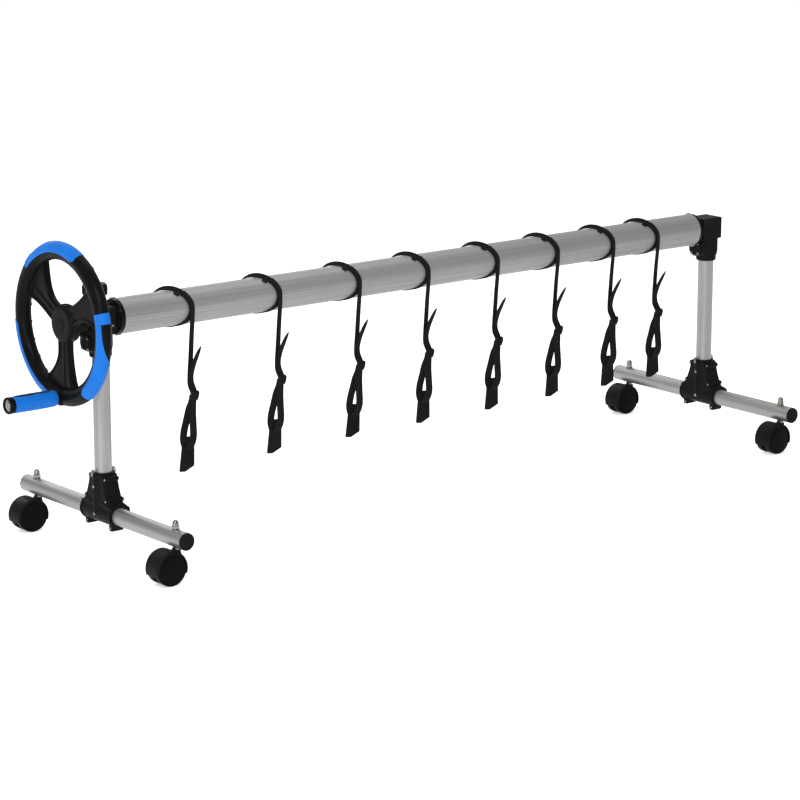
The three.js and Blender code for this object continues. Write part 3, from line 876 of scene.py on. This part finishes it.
def loop_point(degrees, extra=0.0):
    """A point on the slanting turn round the tube; 0 degrees is its nearest point and 90 its top."""
    lift = STRAP_WIDTH / 2 * math.sin(loop_tilt(degrees))
    y, z = polar(LOOP_RADIUS + lift + extra, degrees)
    return Vector((LOOP_SHIFT - STRAP_LEAN * (y + LOOP_RADIUS), y, z))


def loop_side(degrees):
    """The direction across the webbing at a point of the loop."""
    ahead = loop_point(degrees + 1) - loop_point(degrees - 1)
    out = Vector((0, *polar(1, degrees)))
    flat = ahead.cross(out).normalized()
    return flat * math.cos(loop_tilt(degrees)) + out * math.sin(loop_tilt(degrees))


def strap_band(route, twists, thick=1.8, taper=0.0, from_loop=(), width=STRAP_WIDTH):
    """Webbing along a route of (x, y, z), with its twist given at the route's start and end.

    from_loop lists the degrees of the loop that it lies on before its route starts."""
    head = [loop_point(degrees, 1.7) for degrees in from_loop]
    points = catmull([*head, *(Vector(place) for place in route)], 8)
    lead = 8 * len(head)
    last = len(points) - 1
    sides = []
    for i in range(last + 1):
        along = max(0.0, (i - lead) / (last - lead))
        side = across(twists[0] + (twists[1] - twists[0]) * along)
        if i < lead:
            on_loop = loop_side(from_loop[0] * (1 - i / lead))
            side = on_loop.lerp(side, (i / lead) ** 2)
        sides.append(side)
    return Shape().ribbon(points, sides, width, thick, taper)


def strap_loop():
    """The slanting turn round the tube."""
    rings = []
    count = 96
    for i in range(count):
        degrees = 360 * i / count
        side = loop_side(degrees)
        out = side.cross(loop_point(degrees + 1) - loop_point(degrees - 1)).normalized()
        half = STRAP_WIDTH / 2
        corners = [(-1, -0.5), (-0.96, 0.9), (0.96, 0.9), (1, -0.5), (0.9, -1.1), (-0.9, -1.1)]
        rings.append([loop_point(degrees) + side * a * half + out * b for a, b in corners])
    return Shape().loft(rings, closed=True)


def strap_buckle():
    """The small buckle that closes the loop, low on its near side of the top."""
    buckle = Shape()
    bar = rounded((-9, -6.5), (9, 6.5), 3)
    buckle.prism(bar, -1.4, 2.6, axis="z")
    buckle.prism(rounded((-6.5, -1.5), (6.5, 1.5), 1.2), 2, 4.2, axis="z")
    side = loop_side(BUCKLE_AT)
    place = loop_point(BUCKLE_AT, -1.5) + side * -5
    out = Vector((0, place.y, place.z)).normalized()
    along = (side - out * side.dot(out)).normalized()
    turn = Matrix((along, out.cross(along), out)).transposed().to_4x4()
    return Shape().join(buckle, Matrix.Translation(place) @ turn)


def strap_slider():
    """A ladder-lock slider with its lever standing proud in front."""
    body = Shape()
    rings = []
    for height, wide, back, front in ((-11, 7.5, -3.5, 3.5), (-9, 9, -4.5, 5), (-3, 9.4, -4.6, 6.4),
                                      (3, 9.4, -4.6, 7.4), (8, 9.2, -4.4, 6.6), (11, 8, -3.4, 4)):
        outline = rounded((-wide, -front), (wide, -back), 2.6, 4)
        rings.append([Vector((a, b, height)) for a, b in outline])
    body.loft(rings)
    body.prism(rounded((-6.2, -1.2), (6.2, 1.2), 1), -8.6, -5.6, (0, 0, 6.5), "y")
    body.prism(rounded((-6.2, -1.2), (6.2, 1.2), 1), -7.6, -4.6, (0, 0, -4), "y")
    turn = Matrix.Rotation(math.radians(-14), 4, "Z") @ Matrix.Rotation(math.radians(9), 4, "Y")
    return Shape().join(body, Matrix.Translation((0, -45.5, -193)) @ turn)


def cover_plate():
    """The plate at the strap's end: a sewn head, a body that widens, and a slanting lower edge."""
    outline = [(-13, 0), (-16, -40), (-19, -77), (-18, -79.6), (-6, -80), (14, -67.5), (15, -66)]
    outline += [(14.5, -30), (14, -1), (13, 0)]
    plate = Shape().prism(outline, -1.6, 1.6, axis="y")
    plate.prism(rounded((-12.5, -22), (12.5, -18.8), 1.5), -3.6, 3.6, axis="y")
    for i in range(7):
        start = -11 + 3.3 * i
        plate.block((start, start + 1.7), (-3.3, 3.3), (-25.4, -24.6))
    turn = Matrix.Rotation(math.radians(-22), 4, "Z")
    return Shape().join(plate, Matrix.Translation((0, -23, -291)) @ turn)


def hung(shape, number):
    """A strap's shape put at its place: below the tube it sways a little and ends a little higher."""
    sway, short = SWAY[(number - 1) % len(SWAY)], SHORT[(number - 1) % len(SHORT)]
    at = Vector((middle("cover_plate_" + str(number)).x, 0, REEL_Z))
    for i, point in enumerate(shape.verts):
        share = max(0.0, (SWAY_TOP - point.z) / SWAY_DROP)
        shape.verts[i] = at + point + Vector((sway * share ** 1.7, 0, short * share))
    return shape


def add_strap(number):
    name = str(number)
    webbing = strap_loop()
    strand = [(-2, -43.6, 0), (-2.5, -43, -24), (-3, -39, -66), (-3, -35.5, -108), (-4, -33.5, -148)]
    strand += [(-4, -34.5, -170), (-2, -40.5, -184), (0, -45, -196)]
    webbing.join(strap_band(strand, (12, -8), from_loop=(56, 38, 19)))
    rear = [(-3, -44, -193), (-4, -41, -208), (-6, -33.5, -226), (-7.5, -27, -250), (-9.5, -20, -278)]
    rear += [(-9, -17.5, -300), (-5, -21.5, -320)]
    front = [(-4, -46, -193), (-4, -45, -210), (-3.5, -44, -232), (-3, -45.5, -258), (-2, -46, -284)]
    front += [(-2, -40, -303), (-2, -26.5, -320)]
    for route in (rear, front):
        webbing.join(strap_band(route, (EYE_TWIST, EYE_TWIST), width=EYE_WIDTH))
    tail = [(0, -47.6, -193), (-1, -44.5, -181), (-3, -38, -166), (-3, -36.5, -150), (-1, -42, -128)]
    tail += [(0, -52, -108), (0, -62.5, -91), (0, -71, -79)]
    webbing.join(strap_band(tail, (-8, 2), 1.5, taper=0.92))
    body = "hanging_strap_" + name
    build("webbing_" + name, hung(webbing, number), body, FINISH["webbing"],
          ["strap_" + name], crease=60)
    hardware = hung(strap_slider().join(strap_buckle()), number)
    build("buckles_" + name, hardware, body, FINISH["satin"], bevel=0.5)
    plate = hung(cover_plate(), number)
    build("end_plate_" + name, plate, body, FINISH["plate"],
          ["cover_plate_" + name], bevel=0.45)


add_camera()
add_studio()
add_floor()
FINISH = {
    "tube": aluminium("aluminium_tube", "x", 0.53),
    "upright": aluminium("aluminium_upright", "z"),
    "foot": aluminium("aluminium_foot", "y"),
    "black": plastic("black_moulding", (0.0065, 0.0062, 0.007), 0.42),
    "gloss": plastic("gloss_black_moulding", (0.004, 0.0038, 0.004), 0.3, 900.0, 0.00002, 0.045),
    "satin": plastic("satin_black_moulding", (0.007, 0.0068, 0.007), 0.34),
    "wheel": plastic("caster_wheel_plastic", (0.003, 0.003, 0.0032), 0.34, 1200.0, 0.00002, 0.03),
    "plate": plastic("plate_plastic", (0.007, 0.0067, 0.0075), 0.5, 1300.0, 0.00008),
    "blue": blue_rubber(),
    "steel": steel_finish(),
    "webbing": woven("black_webbing"),
}
add_tube()
for side in SIDES:
    add_plug(side)
    add_head(side)
    add_tee(side)
    add_stand(side)
add_handwheel()
for number, centre in enumerate(GRIP_CENTRES, 1):
    add_grip(number, centre)
add_crank()
add_knob()
for corner in CORNERS:
    add_caster(corner)
for number in range(1, STRAP_COUNT + 1):
    add_strap(number)
